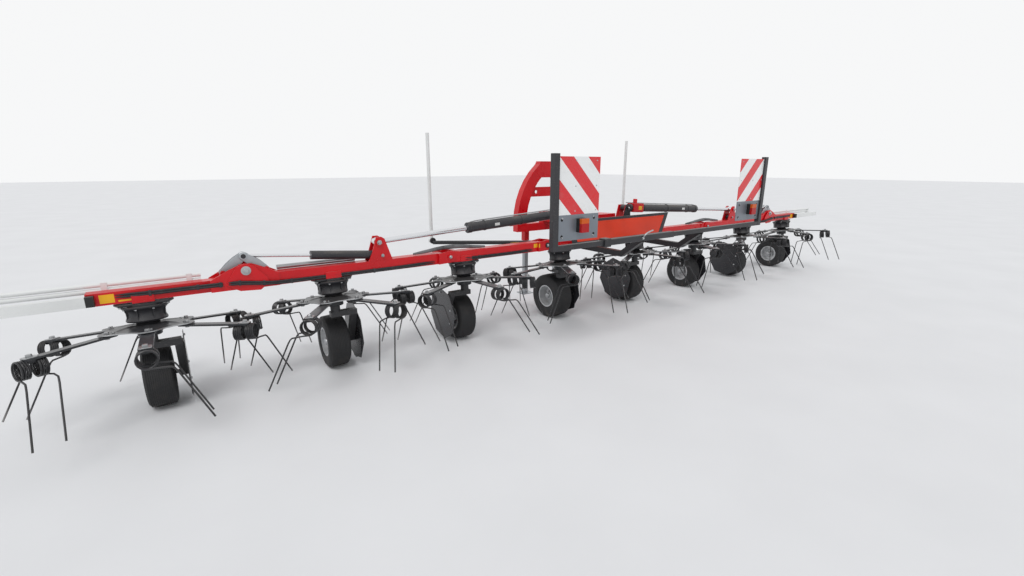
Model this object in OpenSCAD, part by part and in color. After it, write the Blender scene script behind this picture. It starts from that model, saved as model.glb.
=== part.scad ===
// Mounted hay tedder with eight rotors, standing in its working position.
// X runs along the beams, +Y points to the tractor, +Z is up. The origin lies on the ground
// under the middle of the whole machine. The modules count y from the beams' centre line,
// and placed() moves that line back to where it belongs.

/* [Layout] */
// Distance between the axes of neighbouring rotors
rotor_pitch = 1125; // [1110:5:1150]
// Height of the beams' centre line
beam_z = 790; // [785:1:800]
// Height of the rotor hubs where the arms are bolted on
hub_z = 585; // [575:1:590]
// Forward lean of each rotor axis, which brings the front tines down
rotor_tilt = 7; // [6:0.5:8]
// Distance from the middle of the machine to the inner fold hinge
inner_hinge_x = 790; // [780:5:800]
// Height of the inner and middle hinge pins
low_hinge_z = 800; // [795:1:805]
// Distance from the middle of the machine to the middle hinge
middle_hinge_x = 1850; // [1840:5:1860]
// Height of the outer fold hinge pin, above the beams
outer_hinge_z = 874; // [870:1:878]

/* [Beams] */
// Width of the centre, inner and middle beams
beam_w = 90; // [86:1:94]
// Height of the centre, inner and middle beams
beam_h = 90; // [84:1:94]
// Wall of the beams
beam_wall = 6; // [4:0.5:8]
// Width of the outer beam
outer_w = 80; // [74:1:82]
// Height of the outer beam
outer_h = 76; // [70:1:80]
// Distance from the middle of the machine to the outer beam's end
outer_beam_end = 4200; // [4150:10:4250]
// Distance from the middle of the machine to the tip of the end guard
guard_tip = 4850; // [4750:10:4900]

/* [Rotors] */
// Number of arms on a rotor
arm_count = 6; // [5:1:6]
// Radius of the hub disc
disc_r = 175; // [160:1:190]
// Distance from the rotor axis to the tine coils
coil_ring_r = 565; // [550:1:575]
// Distance from the rotor axis to the tine tips
tip_r = 728; // [715:1:735]
// How far the tine tips hang below the hub
tip_drop = 465; // [450:1:470]
// Diameter of the tine wire
wire_d = 10; // [8:0.5:12]
// Outer diameter of a tine coil
coil_d = 88; // [80:1:92]

/* [Wheels] */
// Tyre diameter of the six outer wheels
wheel_d = 410; // [400:1:416]
// Tyre width of the six outer wheels
wheel_w = 165; // [150:1:170]
// Tyre diameter of the two centre wheels
centre_wheel_d = 450; // [440:1:454]
// Tyre width of the two centre wheels
centre_wheel_w = 190; // [180:1:200]
// How far the wheels run ahead of the rotor axes
wheel_ahead = 120; // [110:1:125]

/* [Folding] */
// Place of the main cylinder's inner pin on the mast
mast_pin_x = 350; // [340:1:360]
// Height of the main cylinder's inner pin
mast_pin_z = 1100; // [1090:1:1110]
// Distance from the middle of the machine to the main rod's pin on the tower
tower_pin_x = 2450; // [2440:1:2460]
// Height of the main rod's pin on the tower
tower_pin_z = 975; // [970:1:980]
// Outer radius of the main cylinder
main_barrel_r = 42; // [38:1:45]
// Radius of the main cylinder's rod
main_rod_r = 22; // [18:1:24]
// Outer radius of the outer cylinder
outer_barrel_r = 32; // [28:1:34]
// Radius of the outer cylinder's rod
outer_rod_r = 12; // [10:1:14]

/* [Headstock] */
// Distance from the beams forward to the headstock's swivel pin
swivel_y = 430; // [420:5:440]
// Distance from the beams forward to the hitch pins
hitch_y = 1040; // [1020:5:1060]
// Height of the lower hitch pins
hitch_z = 860; // [850:5:870]
// Height of the top link above the lower hitch pins
mast_height = 610; // [600:1:620]
// Middle distance of the lower hitch pins
hitch_span = 825; // [815:1:835]
// Radius of the lower hitch pins
hitch_pin_r = 14.3; // [11:0.1:18]
// Radius of the top link's hole
top_link_r = 12.9; // [9.5:0.1:16]
// Radius of the drive input shaft
input_shaft_r = 17.4; // [17:0.1:22]

/* [Boards] */
// Side of the square warning boards
board_size = 423; // [400:1:440]
// Distance from the middle of the machine to a board's outer edge
board_edge_x = 1410; // [1380:5:1440]
// How far the boards stand behind the beams
board_y = 920; // [900:5:940]
// Height of the lower edge of a warning board
board_z = 1190; // [1180:5:1200]
// Height of the lamp plate below a board
lamp_plate_h = 195; // [180:1:200]

/* [Hidden] */
$fn = 48;

// Finishes
red = [0.78, 0.06, 0.09];
black = [0.09, 0.09, 0.1];
dark_steel = [0.2, 0.2, 0.22];
zinc = [0.66, 0.68, 0.7];
chrome = [0.85, 0.86, 0.88];
white = [0.92, 0.94, 0.93];
rubber = [0.05, 0.05, 0.055];

// Clearances: a turning fit, a sliding rod, and the least gap between passing plates
turn_gap = 0.5;
rod_gap = 0.6;
pass_gap = 6;

// Hinges: ears of the inner piece lie on the beam's sides, ears of the outer piece outside them
ear_t = 10;
ear_r = 50;
ear_back = 105;
pin_r = 25;
inner_ear_y = beam_w / 2 + ear_t / 2;
outer_ear_y = inner_ear_y + ear_t + 2;
pin_half = outer_ear_y + ear_t / 2 + 8;
beam_top = beam_z + beam_h / 2;
beam_bottom = beam_z - beam_h / 2;
outer_top = beam_z + outer_h / 2;
beam_back = 60;

outer_hinge_x = 3 * rotor_pitch;
function rotor_x(i) = (i - 4.5) * rotor_pitch;

// A flat plate in the XZ plane, t thick, its middle at y
module plate_xz(points, y, t) {
    translate([0, y, 0])
        rotate([90, 0, 0])
            linear_extrude(t, center = true)
                polygon(points);
}

// A flat plate in the YZ plane, t thick, its middle at x
module plate_yz(points, x, t) {
    translate([x, 0, 0])
        rotate([90, 0, 90])
            linear_extrude(t, center = true)
                polygon(points);
}

// A round bar along Y, centred on y = 0
module bar_y(x, z, r, half) {
    translate([x, -half, z])
        rotate([-90, 0, 0])
            cylinder(r = r, h = 2 * half);
}

// A round bar along X from x1 to x2
module bar_x(x1, x2, y, z, r) {
    translate([min(x1, x2), y, z])
        rotate([0, 90, 0])
            cylinder(r = r, h = abs(x2 - x1));
}

// A straight bar from a to b: round, or with sides flats
module bar(a, b, r, sides = 48) {
    d = b - a;
    translate(a)
        rotate([0, acos(d[2] / norm(d)), atan2(d[1], d[0])])
            rotate([0, 0, sides == 4 ? 45 : 0])
                cylinder(r = r, h = norm(d), $fn = sides);
}

// A hollow box beam along X
module box_beam(x1, x2, w, h) {
    translate([x1, -w / 2, beam_z - h / 2])
        difference() {
            cube([x2 - x1, w, h]);
            translate([-1, beam_wall, beam_wall])
                cube([x2 - x1 + 2, w - 2 * beam_wall, h - 2 * beam_wall]);
        }
}

// The pair of ears on the inner piece, with its pin; the ears reach inwards by back
module inner_ears(x, z) {
    for (s = [-1, 1]) {
        plate_xz([[x - ear_back, beam_bottom], [x, z - ear_r], [x, z + ear_r], [x - ear_back, beam_top]],
            s * inner_ear_y, ear_t);
        translate([0, s * inner_ear_y, 0])
            bar_y(x, z, ear_r, ear_t / 2);
    }
    bar_y(x, z, pin_r, pin_half);
}

// The pair of ears on the outer piece, standing off on pads
module outer_ears(x, z, w, h) {
    pad_t = outer_ear_y - ear_t / 2 - w / 2;
    top = beam_z + h / 2;
    bottom = beam_z - h / 2;
    for (s = [-1, 1]) {
        difference() {
            union() {
                plate_xz([[x + ear_back, bottom], [x, z - ear_r], [x, z + ear_r], [x + ear_back, top]],
                    s * outer_ear_y, ear_t);
                translate([0, s * outer_ear_y, 0])
                    bar_y(x, z, ear_r, ear_t / 2);
            }
            translate([0, s * outer_ear_y, 0])
                bar_y(x, z, pin_r + turn_gap, ear_t);
        }
        plate_xz([[x + beam_back, bottom], [x + ear_back, bottom], [x + ear_back, top], [x + beam_back, top]],
            s * (w / 2 + pad_t / 2), pad_t);
    }
}

// Local frame of rotor i: origin at its hub, Z up its leaning axis
module at_rotor(i) {
    translate([rotor_x(i), 0, hub_z])
        rotate([-rotor_tilt, 0, 0])
            children();
}

// Gearbox under the beam, its hollow axle and the wheel leg below, for rotor i.
// side is 1 where the leg stands on the +X side of its wheel and -1 on the other
axle_r = 35;
axle_drop = 118;
leg_w = 46;
head_z = 460;
guard_t = 5;
saddle_half = 55;
function leg_off(i) = wheel_width(i) / 2 + 52;
function wheel_width(i) = (i == 4 || i == 5) ? centre_wheel_w : wheel_w;
function wheel_radius(i) = ((i == 4 || i == 5) ? centre_wheel_d : wheel_d) / 2;
// Side of the wheel that each leg stands on, from rotor 1 to rotor 8
leg_side = [1, 1, -1, 1, -1, 1, -1, 1];

module gearbox(i) {
    side = leg_side[i - 1];
    xr = rotor_x(i);
    lx = xr + side * leg_off(i);
    az = wheel_radius(i);
    head_y = -axle_drop * sin(rotor_tilt);
    // Housing with its waist, and the saddle that clamps it to the beam
    at_rotor(i) {
        rotate_extrude()
            polygon([[0, 34], [70, 34], [70, 52], [58, 72], [62, 96], [90, 122], [90, 146], [0, 146]]);
        translate([0, 0, -axle_drop])
            cylinder(r = axle_r, h = axle_drop + 40);
    }
    w = (i == 1 || i == 8) ? outer_w : beam_w;
    under = beam_z - ((i == 1 || i == 8) ? outer_h : beam_h) / 2;
    translate([xr - saddle_half, -w / 2 - 12, beam_bottom - 18])
        cube([2 * saddle_half, w + 24, under - beam_bottom + 18]);
    for (s = [-1, 1])
        translate([xr - saddle_half, s * (w / 2 + 6) - 6, beam_bottom - 18])
            cube([2 * saddle_half, 12, 66]);
    // Leg: head, slanting tube, stub axle
    head_end = lx + side * (leg_w / 2 - 4);
    translate([min(xr - 42 * side, head_end), head_y - 30, head_z - 20])
        cube([abs(head_end - xr + 42 * side), 56, 40]);
    bar([lx, head_y, head_z - 4], [lx, wheel_ahead, az - 16], leg_w / sqrt(2), 4);
    bar_x(lx + side * leg_w / 2, xr - side * 62, wheel_ahead, az, 12.5);
    // Plate that keeps the crop off the wheel
    plate_yz([[-70, 260], [-45, 90], [110, 25], [270, 80], [315, 280], [210, 425], [10, 440]],
        lx + side * (leg_w + guard_t - 2) / 2, guard_t);
}

// Rotor i: hub, drooping arms, clamps, coils and tines
hub_bore_r = axle_r + 0.7;
arm_root_r = 105;
arm_w = 40;
arm_h = 22;
coil_z = -72;
coil_in = 18;
coil_out = 64;
clamp_r = 38;
arm_droop = atan2(-coil_z - 8, coil_ring_r - arm_root_r);
// Radii of the coil's outline across its turns
coil_turns = 4;
function coil_outline() = concat(
    [[coil_d / 2 - wire_d, 0]],
    [for (k = [0 : coil_turns - 1], e = [0.12, 0.5, 0.88])
        [coil_d / 2 - (e == 0.5 ? 0 : wire_d * 0.3), (k + e) * (coil_out - coil_in) / coil_turns]],
    [[coil_d / 2 - wire_d, coil_out - coil_in]]
);
// One tine beyond its coil: radius, offset along the coil, height
bend = [coil_ring_r + 88, coil_out - wire_d / 2, coil_z - coil_d / 2 - 12];
trail = 55;

module tine(s, turn) {
    start = [coil_ring_r, s * (coil_out - wire_d / 2), coil_z - coil_d / 2 + wire_d * 0.6];
    knee = [bend[0], s * bend[1], bend[2]];
    tip = [tip_r, s * bend[1] - turn * trail, -tip_drop];
    translate([coil_ring_r, s * coil_in, coil_z])
        rotate([s * -90, 0, 0])
            rotate_extrude()
                polygon(coil_outline());
    bar(start, knee, wire_d / 2, 8);
    bar(knee + (knee - tip) * 0.008, tip, wire_d / 2, 8);
}

module rotor(i) {
    turn = i % 2 == 0 ? 1 : -1;
    phase = i % 2 == 0 ? 0 : 180 / arm_count;
    color(dark_steel)
        at_rotor(i)
            difference() {
                union() {
                    cylinder(r = disc_r, h = 12, center = true);
                    translate([0, 0, -62])
                        cylinder(r = 64, h = 90);
                    for (k = [0 : arm_count - 1])
                        rotate([0, 0, phase + k * 360 / arm_count]) {
                            translate([arm_root_r, -arm_w / 2, -8])
                                rotate([0, arm_droop, 0])
                                    translate([0, 0, -arm_h / 2])
                                        cube([coil_ring_r - arm_root_r - 20, arm_w, arm_h]);
                            translate([coil_ring_r, 0, coil_z])
                                rotate([90, 0, 0])
                                    cylinder(r = clamp_r, h = 2 * coil_in + 6, center = true);
                            for (s = [-1, 1])
                                tine(s, turn);
                        }
                }
                cylinder(r = hub_bore_r, h = 200, center = true);
            }
}

// Wheel i: tyre, rim and hub in one turned outline (radius, distance from the middle)
module wheel(i) {
    r = wheel_radius(i);
    h = wheel_width(i) / 2;
    rim = 104;
    half = [[13, 50], [38, 50], [38, 6], [rim - 8, 6], [rim - 8, h - 20], [rim + 4, h - 12],
        [rim + 16, h - 5], [(r + rim) / 2, h], [r - 22, h - 3], [r - 4, h - 16], [r, h * 0.45]];
    mirrored = [for (k = [len(half) - 1 : -1 : 0]) [half[k][0], -half[k][1]]];
    color(rubber)
        translate([rotor_x(i), wheel_ahead, r])
            rotate([0, 90, 0])
                rotate_extrude()
                    polygon(concat(half, mirrored));
}

// Cross tube with hinge ears at both ends, cylinder masts and the fork for the swivel pin
fork_r = 100;
fork_low = 868;
fork_high = 1022;
fork_t = 20;
swivel_pin_r = 40;
eye_half = 30;
tower_y = 41;
mast_y = 49.5;
module centre_frame() {
    color(red) {
        box_beam(-inner_hinge_x + beam_back, inner_hinge_x - beam_back, beam_w, beam_h);
        for (m = [0, 1])
            mirror([m, 0, 0]) {
                inner_ears(inner_hinge_x, low_hinge_z);
                for (s = [-1, 1])
                    plate_xz([[mast_pin_x - 130, beam_z], [mast_pin_x - 40, mast_pin_z + 32],
                        [mast_pin_x + 32, mast_pin_z + 32], [mast_pin_x + 60, beam_z]],
                        s * mast_y, 10);
                bar_y(mast_pin_x, mast_pin_z, 16, mast_y + 14);
                // Arm back to the board carrier
                translate([420 - 25, -700, beam_z - 45])
                    cube([50, 700 - beam_w / 2, 50]);
                bar([420, -690, beam_z - 20], [420, -board_y + 20, 925], 25 * sqrt(2), 4);
                // Bracket of the sign plate
                translate([250, -274, 870])
                    cube([40, 274 - beam_w / 2, 30]);
                translate([250, -beam_w / 2, beam_top])
                    cube([40, 20, 65]);
                // Arm out to the front guard
                bar([650, 40, 800], [front_guard_x, front_guard_y - 22, 752], 20);
                translate([front_guard_x, front_guard_y - 2, front_guard_z])
                    rotate([90, 0, 0]) {
                        cylinder(r = 32, h = 20);
                        translate([0, 0, -44])
                            cylinder(r = 10, h = 50);
                    }
            }
        // Box that carries the fork
        translate([-240, 25, beam_top])
            cube([480, 20, fork_high + fork_t - beam_top]);
        for (z = [fork_low, fork_high])
            translate([0, 0, z]) {
                linear_extrude(fork_t)
                    polygon([[-240, 40], [240, 40], [fork_r, swivel_y], [-fork_r, swivel_y]]);
                translate([0, swivel_y, 0])
                    cylinder(r = fork_r, h = fork_t);
            }
        translate([0, swivel_y, fork_low - 15])
            cylinder(r = swivel_pin_r, h = fork_high + fork_t + 15 - fork_low + 15);
    }
}

module centre_gearboxes() {
    color(black) {
        gearbox(4);
        gearbox(5);
    }
}

// Gearbox that takes the drive shaft, under the fork and ahead of the cross tube
input_y = 260;
input_z = 745;
module input_gearbox() {
    color(black) {
        translate([-110, beam_w / 2, input_z - 75])
            cube([220, input_y - beam_w / 2, 118]);
        translate([0, input_y, input_z])
            rotate([-90, 0, 0]) {
                cylinder(r = 45, h = 30);
                cylinder(r = input_shaft_r, h = 110);
            }
    }
}

// Blank sign across the back of the centre frame
module sign_plate() {
    color(black)
        difference() {
            plate_xz([[-650, 815], [650, 815], [740, 1050], [-740, 1050]], -280, 12);
            plate_xz([[-600, 840], [600, 840], [675, 1025], [-675, 1025]], -286, 4);
        }
}

// Tube behind the rotors with the two upright board posts
carrier_z = 945;
post_w = 50;
module board_carrier() {
    color(black) {
        translate([-board_edge_x, -board_y - 20, carrier_z - 20])
            difference() {
                cube([2 * board_edge_x, 40, 40]);
                translate([-1, 4, 4])
                    cube([2 * board_edge_x + 2, 32, 32]);
            }
        for (s = [-1, 1])
            translate([s * (board_edge_x + post_w / 2) - post_w / 2, -board_y - 22, carrier_z - 20])
                difference() {
                    cube([post_w, 45, board_z + board_size - carrier_z + 40]);
                    translate([4, 4, -1])
                        cube([post_w - 8, 37, board_z + board_size - carrier_z]);
                }
    }
}

module warning_boards() {
    color(white)
        for (s = [-1, 1])
            translate([s * (board_edge_x - board_size / 2) - board_size / 2, -board_y - 4, board_z])
                cube([board_size, 6, board_size]);
}

lamp_reach = 64;
module lamp_plates() {
    lamp_w = 78;
    lamp_h = 105;
    for (s = [-1, 1])
        translate([s * (board_edge_x - board_size / 2), -board_y, board_z - lamp_plate_h]) {
            color(zinc)
                translate([-board_size / 2, -4, 0])
                    cube([board_size, 6, lamp_plate_h]);
            color(black)
                translate([-lamp_w / 2 + 20, -lamp_reach, 60])
                    cube([lamp_w, lamp_reach - 4, lamp_h]);
        }
}

// Swivelling three-point headstock
arch_c = -405;
arch_r = 850;
arch_w = 130;
arch_y = 900;
arch_d = 90;
foot_z = 900;
arch_top = foot_z + arch_r * sin(51);
cross_low = hitch_z - 70;
function arch_arc(r, a1, a2) = [for (a = [a1 : (a2 - a1) / 6 : a2]) [arch_c + r * cos(a), foot_z + r * sin(a)]];
arch_foot_x = arch_c + arch_r - arch_w;
module headstock() {
    color(red) {
        // Eye of the swivel and the neck to the cross beam
        difference() {
            union() {
                translate([0, swivel_y, fork_low + fork_t + 5])
                    cylinder(r = 78, h = fork_high - fork_low - fork_t - 10);
                translate([-60, swivel_y, fork_low + fork_t + 8])
                    cube([120, arch_y - swivel_y + 10, fork_high - fork_low - fork_t - 16]);
            }
            translate([0, swivel_y, fork_low])
                cylinder(r = swivel_pin_r + turn_gap, h = fork_high - fork_low);
        }
        translate([-60, arch_y, cross_low])
            cube([120, arch_d, fork_high - fork_t - cross_low]);
        translate([-arch_foot_x, arch_y, cross_low])
            cube([2 * arch_foot_x, arch_d, 90]);
        // Sleeves of the parking stands
        for (s = [-1, 1])
            translate([s * stand_x - 33, arch_y + arch_d, sleeve_z])
                difference() {
                    cube([66, 66, 220]);
                    translate([8 - stand_gap, 8 - stand_gap, -1])
                        cube([50 + 2 * stand_gap, 50 + 2 * stand_gap, 222]);
                }
    }
}

// Arch that carries the tractor's three links
module arch() {
    top_z = hitch_z + mast_height;
    color(red) {
        for (m = [0, 1])
            mirror([m, 0, 0]) {
                // Curved leg of the arch, then its straight foot
                plate_xz(concat(arch_arc(arch_r, 0, 51), arch_arc(arch_r - arch_w, 47, 0)),
                    arch_y + arch_d / 2, arch_d);
                translate([arch_foot_x, arch_y, cross_low])
                    cube([arch_w, arch_d, foot_z - cross_low]);
                // Plate and pin of the lower hitch
                plate_yz([[arch_y + arch_d, cross_low], [hitch_y, hitch_z - 45], [hitch_y + 40, hitch_z],
                    [hitch_y, hitch_z + 45], [arch_y + arch_d, foot_z + 60]],
                    hitch_span / 2 - 52, 24);
                bar_x(hitch_span / 2 - 52, hitch_span / 2 + 45, hitch_y, hitch_z, hitch_pin_r);
                // Ear of the top link
                difference() {
                    plate_yz([[arch_y, arch_top - 130], [hitch_y, top_z - 35], [hitch_y + 35, top_z],
                        [hitch_y, top_z + 35], [arch_y, arch_top]], 33, 14);
                    bar_x(0, 60, hitch_y, top_z, top_link_r);
                }
            }
        // Head of the arch and the web under it
        plate_xz([[-135, arch_top - 150], [135, arch_top - 150], [135, arch_top - 10],
            [110, arch_top + 35], [-110, arch_top + 35], [-135, arch_top - 10]],
            arch_y + arch_d / 2, arch_d);
        difference() {
            translate([-300, arch_y + 30, 1190])
                cube([600, 20, 110]);
            for (s = [-1, 1])
                translate([s * 150, arch_y, 1245])
                    rotate([-90, 0, 0])
                        cylinder(r = 22, h = arch_d);
        }
    }
}

// Parking stands that slide up in their sleeves
stand_x = 240;
stand_gap = 0.5;
sleeve_z = 665;
stand_y = arch_y + arch_d + 33;
foot_reach = 70;
module stand(s) {
    color(zinc) {
        translate([s * stand_x - 25, stand_y - 25, 10])
            difference() {
                cube([50, 50, 885]);
                translate([5, 5, -1])
                    cube([40, 40, 880]);
            }
        translate([s * stand_x - 75, stand_y - foot_reach, 0])
            cube([150, 2 * foot_reach, 10]);
    }
}

// White pole that stands at the front and swings down outwards
front_guard_x = 1485;
front_guard_y = 1020;
front_guard_z = 770;
module front_guard(s) {
    color(white)
        translate([s * front_guard_x, front_guard_y, front_guard_z])
            difference() {
                union() {
                    translate([0, 18, 0])
                        cylinder(r = 18, h = 1100);
                    rotate([-90, 0, 0])
                        cylinder(r = 30, h = 36);
                }
                translate([0, -1, 0])
                    rotate([-90, 0, 0])
                        cylinder(r = 10 + turn_gap, h = 38);
            }
}

// Inner section with the rotor 3 or 6 gearbox, made for the +X side
module inner_section() {
    color(red) {
        box_beam(inner_hinge_x + beam_back, middle_hinge_x - beam_back, beam_w, beam_h);
        outer_ears(inner_hinge_x, low_hinge_z, beam_w, beam_h);
        inner_ears(middle_hinge_x, low_hinge_z);
    }
}

// Middle section with the tower and the lugs of the outer fold linkage
link_x = 130;
link_drop = 10;
top_pin_rise = 90;
lug_y = 35;
lug_t = 8;
lug_r = 18;
link_pin_r = 11;
outer_cyl_x = tower_pin_x - 20;
outer_cyl_z = 872;
module middle_section() {
    color(red) {
        box_beam(middle_hinge_x + beam_back, outer_hinge_x - 15, beam_w, beam_h);
        outer_ears(middle_hinge_x, low_hinge_z, beam_w, beam_h);
        // Outer hinge plates with their pin
        for (s = [-1, 1])
            plate_xz([[outer_hinge_x - 200, beam_bottom], [outer_hinge_x - 200, beam_top],
                [outer_hinge_x - 105, outer_hinge_z + 12], [outer_hinge_x - 40, outer_hinge_z + 42],
                [outer_hinge_x + 35, outer_hinge_z + 42], [outer_hinge_x + 52, outer_hinge_z],
                [outer_hinge_x + 20, outer_hinge_z - 48], [outer_hinge_x - 15, beam_bottom]],
                s * inner_ear_y, ear_t);
        bar_y(outer_hinge_x, outer_hinge_z, pin_r, pin_half);
        // Lugs of the inner link
        for (s = [-1, 1]) {
            plate_xz([[outer_hinge_x - link_x - 40, beam_top - 2], [outer_hinge_x - link_x - lug_r,
                outer_hinge_z - link_drop], [outer_hinge_x - link_x + lug_r, outer_hinge_z - link_drop],
                [outer_hinge_x - link_x + 40, beam_top - 2]], s * lug_y, lug_t);
            translate([0, s * lug_y, 0])
                bar_y(outer_hinge_x - link_x, outer_hinge_z - link_drop, lug_r, lug_t / 2);
        }
        bar_y(outer_hinge_x - link_x, outer_hinge_z - link_drop, link_pin_r, lug_y);
        // Tower for both cylinders
        for (s = [-1, 1]) {
            plate_xz([[tower_pin_x - 100, beam_top], [tower_pin_x - 45, tower_pin_z + 25],
                [tower_pin_x - 20, tower_pin_z + 42], [tower_pin_x + 20, tower_pin_z + 42],
                [tower_pin_x + 60, beam_top + 60], [tower_pin_x + 90, beam_top]], s * tower_y, 10);
            translate([0, s * (tower_y + 9), 0])
                bar_y(tower_pin_x, tower_pin_z, 27, 5);
        }
        bar_y(outer_cyl_x, outer_cyl_z, 14, tower_y + 12);
    }
}

module outer_section() {
    color(red) {
        box_beam(outer_hinge_x + 15, outer_beam_end, outer_w, outer_h);
        // Hinge plates that stand off on pads
        pad_t = outer_ear_y - ear_t / 2 - outer_w / 2;
        for (s = [-1, 1]) {
            difference() {
                union() {
                    plate_xz([[outer_hinge_x + 210, beam_z - outer_h / 2], [outer_hinge_x + 60,
                        beam_z - outer_h / 2], [outer_hinge_x - 45, outer_hinge_z - 15],
                        [outer_hinge_x - 30, outer_hinge_z + 38], [outer_hinge_x + 30,
                        outer_hinge_z + 42], [outer_hinge_x + 110, outer_hinge_z + 8],
                        [outer_hinge_x + 210, outer_top]], s * outer_ear_y, ear_t);
                    translate([0, s * outer_ear_y, 0])
                        bar_y(outer_hinge_x, outer_hinge_z, ear_r - 4, ear_t / 2);
                }
                translate([0, s * outer_ear_y, 0])
                    bar_y(outer_hinge_x, outer_hinge_z, pin_r + turn_gap, ear_t);
            }
            plate_xz([[outer_hinge_x + 80, beam_z - outer_h / 2], [outer_hinge_x + 200,
                beam_z - outer_h / 2], [outer_hinge_x + 200, outer_top], [outer_hinge_x + 80, outer_top]],
                s * (outer_w / 2 + pad_t / 2), pad_t);
            // Lugs of the outer link
            plate_xz([[outer_hinge_x + link_x - 40, outer_top - 2], [outer_hinge_x + link_x - lug_r,
                outer_hinge_z - link_drop], [outer_hinge_x + link_x + lug_r, outer_hinge_z - link_drop],
                [outer_hinge_x + link_x + 40, outer_top - 2]], s * lug_y, lug_t);
            translate([0, s * lug_y, 0])
                bar_y(outer_hinge_x + link_x, outer_hinge_z - link_drop, lug_r, lug_t / 2);
        }
        bar_y(outer_hinge_x + link_x, outer_hinge_z - link_drop, link_pin_r, lug_y);
    }
}

// Guard beyond the outer beam: a thick tube behind, two thin rails in front
module end_guard() {
    rail_y = outer_w / 2 + 16;
    color(white) {
        translate([outer_beam_end - 40, -outer_w / 2 - 40.3, beam_z - 30])
            cube([guard_tip - outer_beam_end + 40, 40, 60]);
        for (z = [0, 34])
            bar_x(outer_hinge_x + 250, guard_tip, rail_y + 1, outer_top - 4 + z, 14);
        translate([guard_tip - 30, -outer_w / 2 - 40, beam_z - 20])
            cube([30, outer_w + 40 + 40, 40]);
        translate([guard_tip - 30, rail_y - 13, beam_z - 20])
            cube([30, 28, 100]);
        for (x = [outer_hinge_x + 300, outer_beam_end - 100])
            translate([x, outer_w / 2 + 0.3, outer_top - 30])
                cube([30, 12, 75]);
    }
}

// Links of the outer fold linkage, from a beam lug to the top pin
link_t = 6;
link_end_r = 20;
inner_link_y = lug_y - lug_t / 2 - 2 - link_t / 2;
outer_link_y = inner_link_y - link_t - 2;
link_gap = outer_link_y + link_t / 2 + 1;
module link(x, y_mid, pin_len) {
    top = [outer_hinge_x, outer_hinge_z + top_pin_rise];
    foot = [outer_hinge_x + x, outer_hinge_z - link_drop];
    d = (top - foot) / norm(top - foot);
    n = [-d[1], d[0]] * 16;
    color(zinc) {
        for (s = [-1, 1])
            difference() {
                union() {
                    plate_xz([foot + n, foot - n, top - n, top + n], s * y_mid, link_t);
                    translate([0, s * y_mid, 0]) {
                        bar_y(foot[0], foot[1], link_end_r, link_t / 2);
                        bar_y(top[0], top[1], link_end_r, link_t / 2);
                    }
                }
                bar_y(foot[0], foot[1], link_pin_r + turn_gap, lug_y);
            }
        if (pin_len > 0)
            for (s = [-1, 1])
                translate([0, s * (pin_len + link_gap) / 2, 0])
                    bar_y(top[0], top[1], link_pin_r, (pin_len - link_gap) / 2);
    }
}

module beam_link() {
    link(-link_x, inner_link_y, inner_link_y + 7);
}

module outer_link() {
    difference() {
        link(link_x, outer_link_y, 0);
        bar_y(outer_hinge_x, outer_hinge_z + top_pin_rise, link_pin_r + turn_gap, lug_y);
    }
}

// Hydraulic cylinders. Barrel from its pin at a towards b, rod to its eye at b
module barrel(a, b, r, bore, length, eye_r, eye_bore, half) {
    d = (b - a) / norm(b - a);
    a3 = [a[0], 0, a[1]];
    d3 = [d[0], 0, d[1]];
    difference() {
        union() {
            bar_y(a[0], a[1], eye_r, half);
            bar(a3, a3 + d3 * (eye_r + 40), r * 0.6);
            bar(a3 + d3 * (eye_r + 26), a3 + d3 * length, r);
        }
        bar_y(a[0], a[1], eye_bore, half + 1);
        bar(a3 + d3 * (eye_r + 46), a3 + d3 * (length + 1), bore);
    }
}

module rod(a, b, r, from, eye_r, eye_bore, half) {
    d = (b - a) / norm(b - a);
    a3 = [a[0], 0, a[1]];
    b3 = [b[0], 0, b[1]];
    d3 = [d[0], 0, d[1]];
    difference() {
        union() {
            bar(a3 + d3 * from, b3, r);
            bar_y(b[0], b[1], eye_r, half);
        }
        bar_y(b[0], b[1], eye_bore, half + 1);
    }
}

mast_pin = [mast_pin_x, mast_pin_z];
tower_pin = [tower_pin_x, tower_pin_z];
outer_cyl_pin = [outer_cyl_x, outer_cyl_z];
top_pin = [outer_hinge_x, outer_hinge_z + top_pin_rise];
main_length = 1300;
outer_length = 520;

module main_barrel() {
    color(black)
        barrel(mast_pin, tower_pin, main_barrel_r, main_rod_r + rod_gap, main_length, 34, 16 + turn_gap, eye_half);
}

module main_rod() {
    color(chrome)
        rod(mast_pin, tower_pin, main_rod_r, main_length - 160, 34, 18, eye_half);
}

module outer_barrel() {
    color(black)
        barrel(outer_cyl_pin, top_pin, outer_barrel_r, outer_rod_r + rod_gap, outer_length, 24, 14 + turn_gap,
            eye_half);
}

module outer_rod() {
    color(chrome)
        rod(outer_cyl_pin, top_pin, outer_rod_r, outer_length - 120, 24, 11.5, 12);
}

module left() {
    mirror([1, 0, 0])
        children();
}

// Moves the beams' centre line behind the middle of the whole machine
front_reach = stand_y + foot_reach;
rear_reach = board_y + lamp_reach;
module placed() {
    translate([0, (rear_reach - front_reach) / 2, 0])
        children();
}

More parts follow.
